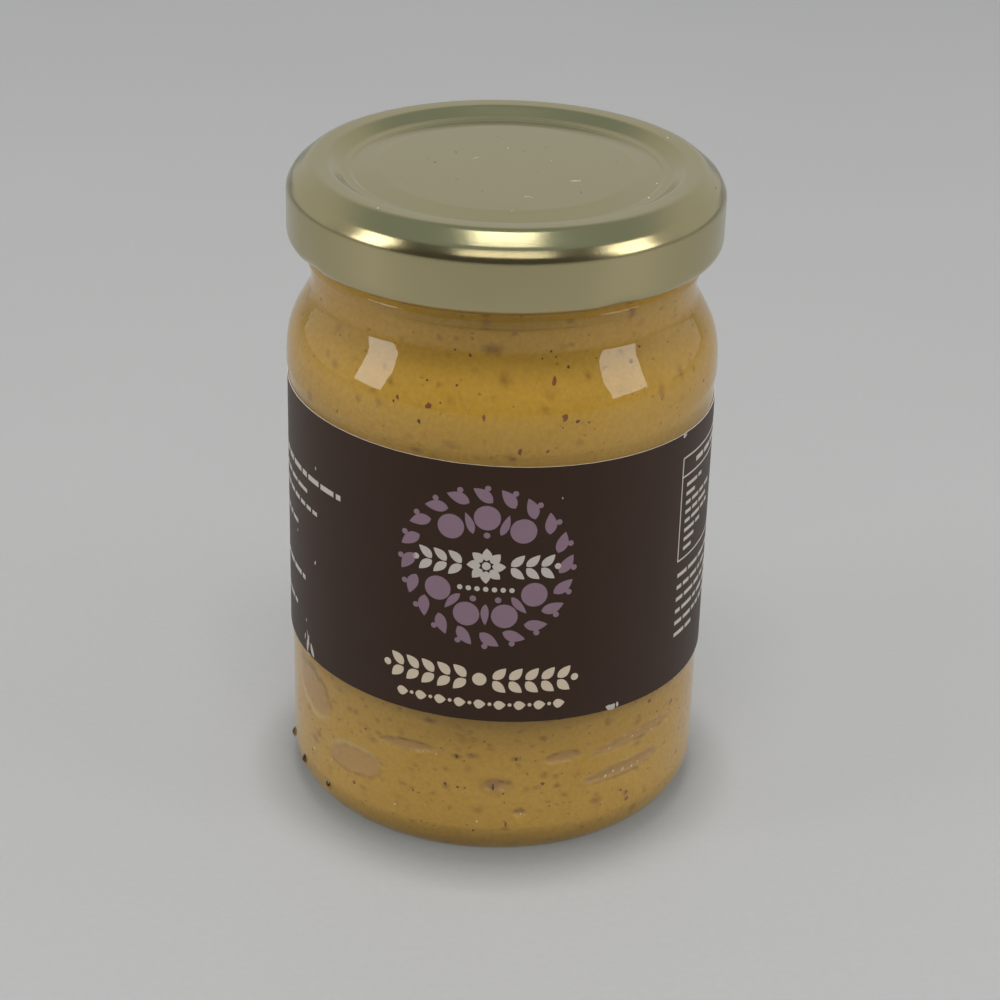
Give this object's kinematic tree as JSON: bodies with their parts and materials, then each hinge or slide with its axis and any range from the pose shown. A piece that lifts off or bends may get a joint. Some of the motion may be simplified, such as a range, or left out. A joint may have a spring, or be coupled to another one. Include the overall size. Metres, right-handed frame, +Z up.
{
  "type": "mustard jar",
  "caption": "Shut glass jar of grain mustard with a rounded shoulder, a gold twist-off lid and a dark wrap-around paper label.",
  "frame": {"origin": "centre of the jar's base, on the surface that it stands on", "axes": "+Z up along the jar's axis, -Y towards the front of the label, +X to the right seen from the front"},
  "size_m": [0.062, 0.062, 0.0963],
  "materials": {
    "glass": "clear moulded soda-lime glass, fire-polished",
    "lid_tinplate": "pale gold lacquer over grainy tinplate, satin",
    "label_paper": "dark brown printed paper, satin",
    "mustard_paste": "wet ochre paste with brown husk specks"
  },
  "bodies": {
    "root": {"jar_glass": "glass", "lid": "lid_tinplate", "label": "label_paper", "mustard": "mustard_paste"}
  },
  "joints": []
}
